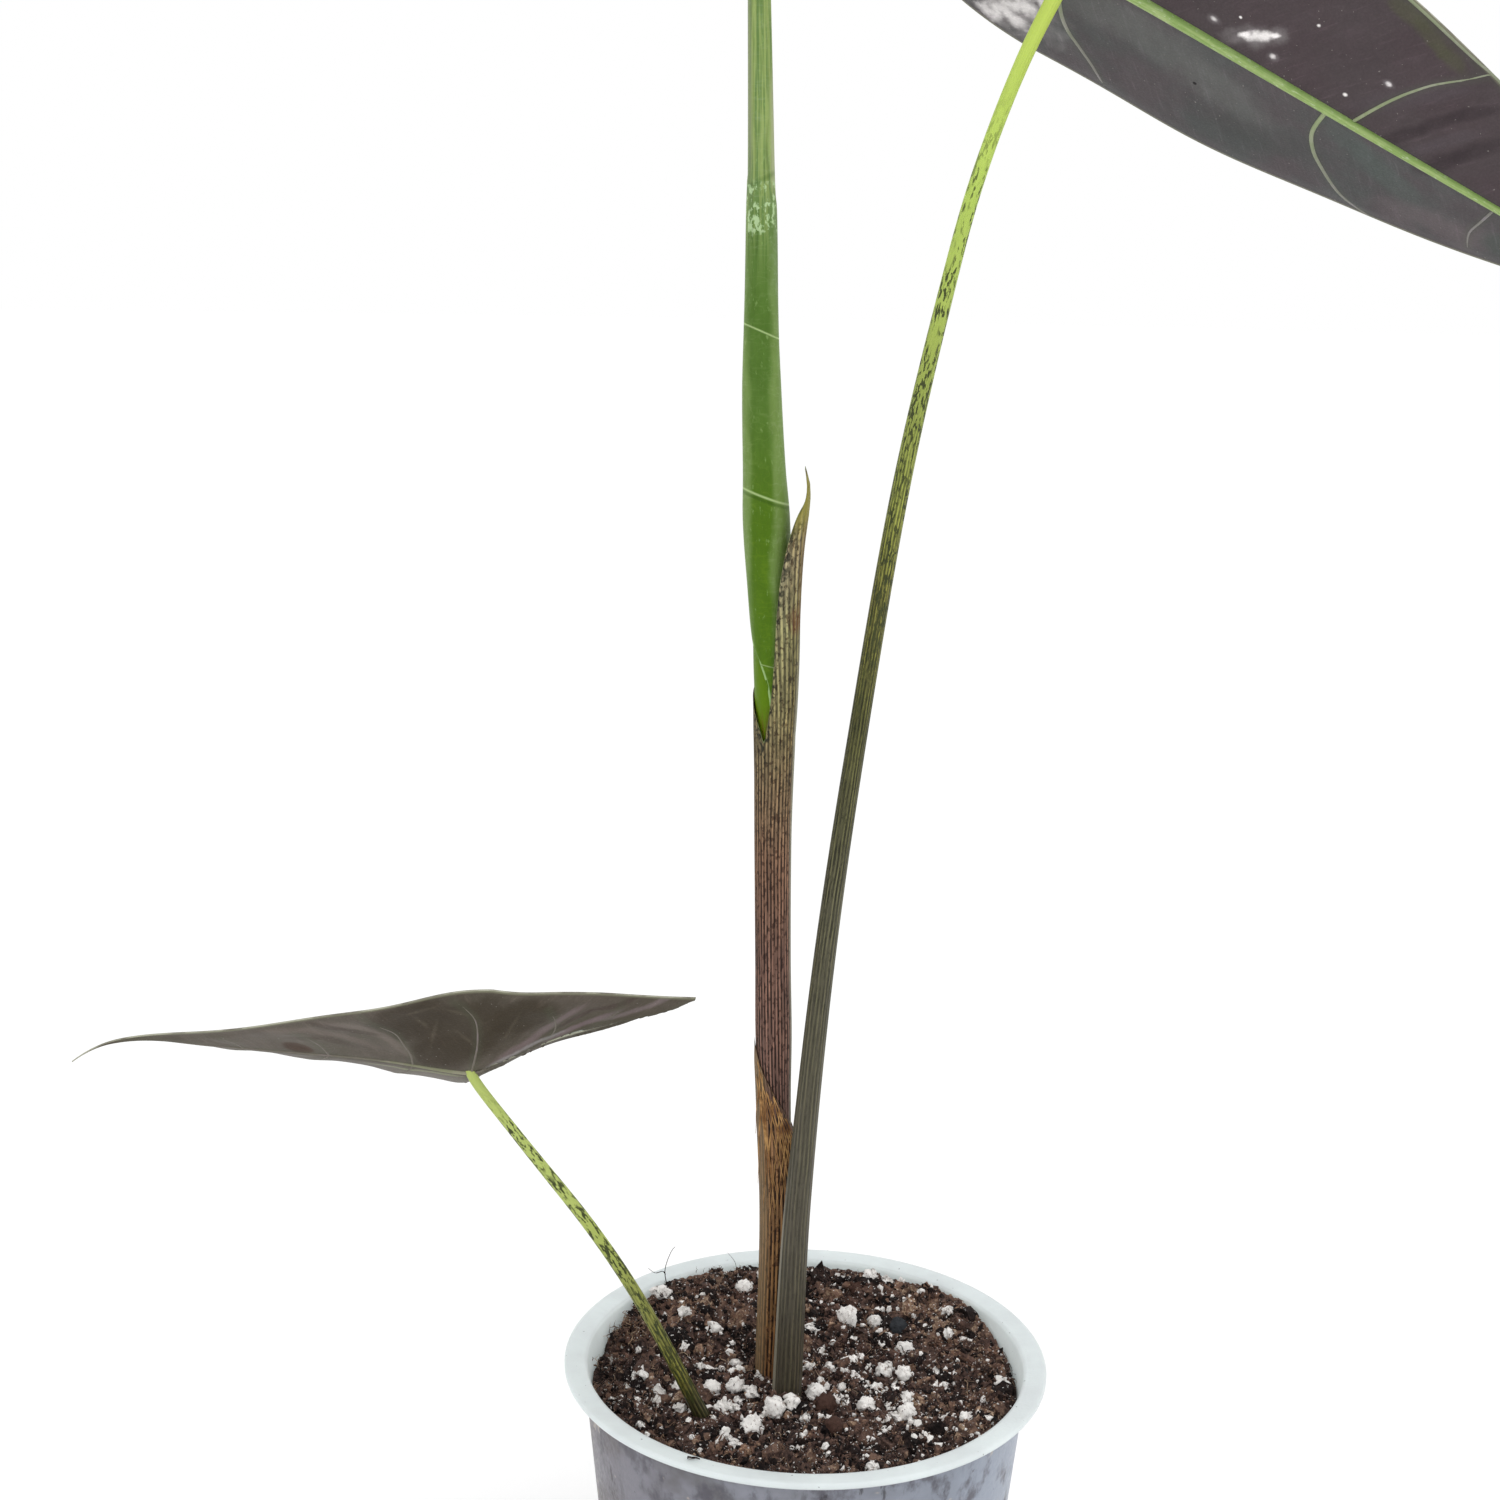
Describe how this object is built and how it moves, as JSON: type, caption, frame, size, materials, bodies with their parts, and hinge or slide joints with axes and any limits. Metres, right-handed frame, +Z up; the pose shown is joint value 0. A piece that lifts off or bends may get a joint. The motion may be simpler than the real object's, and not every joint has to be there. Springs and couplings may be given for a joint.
{
  "type": "potted alocasia longiloba",
  "caption": "Small arrow-leaved house plant in a frosted nursery pot, with a large and a small leaf and a rolled new leaf in its sheath.",
  "frame": {"origin": "middle of the pot's flat base, on the surface that it stands on", "axes": "+Z up, +X to the large leaf's side, +Y to the back, away from the leaves' undersides"},
  "size_m": [0.3219, 0.105, 0.46],
  "materials": {
    "pot": "frosted, translucent",
    "soil": "loose, moist potting mix",
    "rhizome": "rough",
    "old_sheath": "dry, fibrous",
    "shoot_sheath": "ribbed, satin",
    "new_leaf": "satin",
    "petiole_big": "satin",
    "petiole_small": "satin",
    "blade": "satin, purple-grey below and dark green above",
    "perlite": "rough, white",
    "charcoal": "matt",
    "bark": "rough"
  },
  "bodies": {
    "root": {"pot": "pot", "soil": "soil", "rhizome": "rhizome", "old_sheath": "old_sheath", "shoot_sheath": "shoot_sheath", "new_leaf": "new_leaf", "petiole_big": "petiole_big", "petiole_small": "petiole_small", "blade_big": "blade", "blade_small": "blade", "perlite_01": "perlite", "perlite_02": "perlite", "perlite_03": "perlite", "perlite_04": "perlite", "perlite_05": "perlite", "perlite_06": "perlite", "perlite_07": "perlite", "perlite_08": "perlite", "perlite_09": "perlite", "perlite_10": "perlite", "perlite_11": "perlite", "perlite_12": "perlite", "perlite_13": "perlite", "perlite_14": "perlite", "perlite_15": "perlite", "perlite_16": "perlite", "charcoal_01": "charcoal", "bark_01": "bark", "bark_02": "bark", "bark_03": "bark"}
  },
  "joints": []
}
